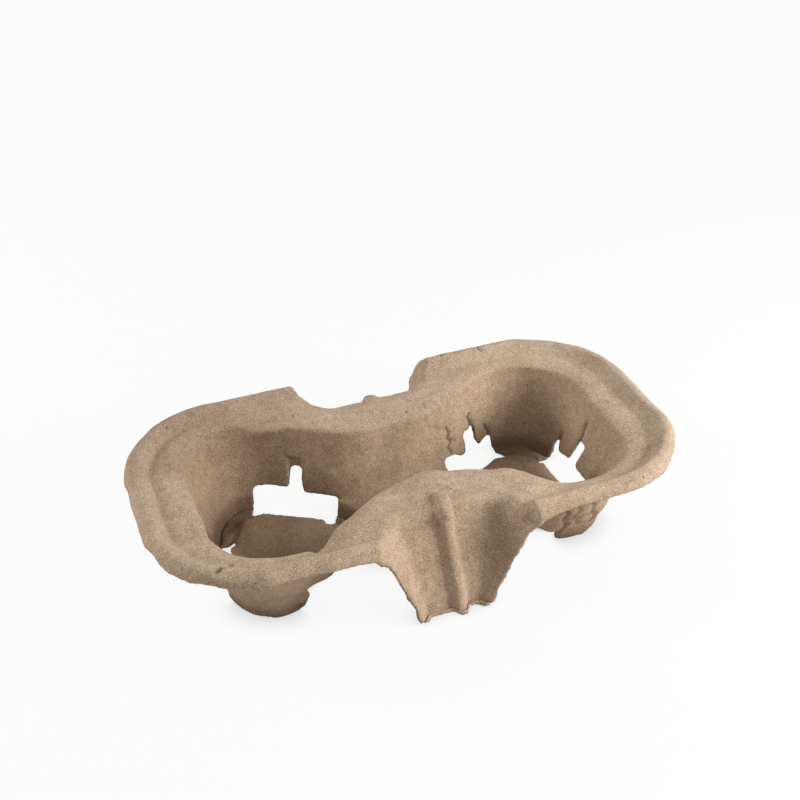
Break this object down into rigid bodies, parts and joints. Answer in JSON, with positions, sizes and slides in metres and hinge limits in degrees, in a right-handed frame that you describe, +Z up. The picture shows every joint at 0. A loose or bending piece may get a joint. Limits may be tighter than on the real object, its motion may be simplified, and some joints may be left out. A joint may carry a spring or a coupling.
{
  "type": "moulded pulp cup carrier",
  "caption": "Shallow moulded pulp tray with rounded-triangle wells that grip paper cups, joined by a saddle, with a rolled rim, ribbed side legs and T-shaped slots at the foot of the wells.",
  "frame": {"origin": "centre of the carrier on the surface it stands on", "axes": "+X along the carrier from one cup well to the other, +Y across it away from the viewer, +Z up out of the wells"},
  "size_m": [0.216, 0.1126, 0.044],
  "materials": {
    "pulp": "matte, rough recycled fibre with fine dark and light specks"
  },
  "bodies": {
    "root": {"cup_carrier": "pulp"}
  },
  "joints": []
}
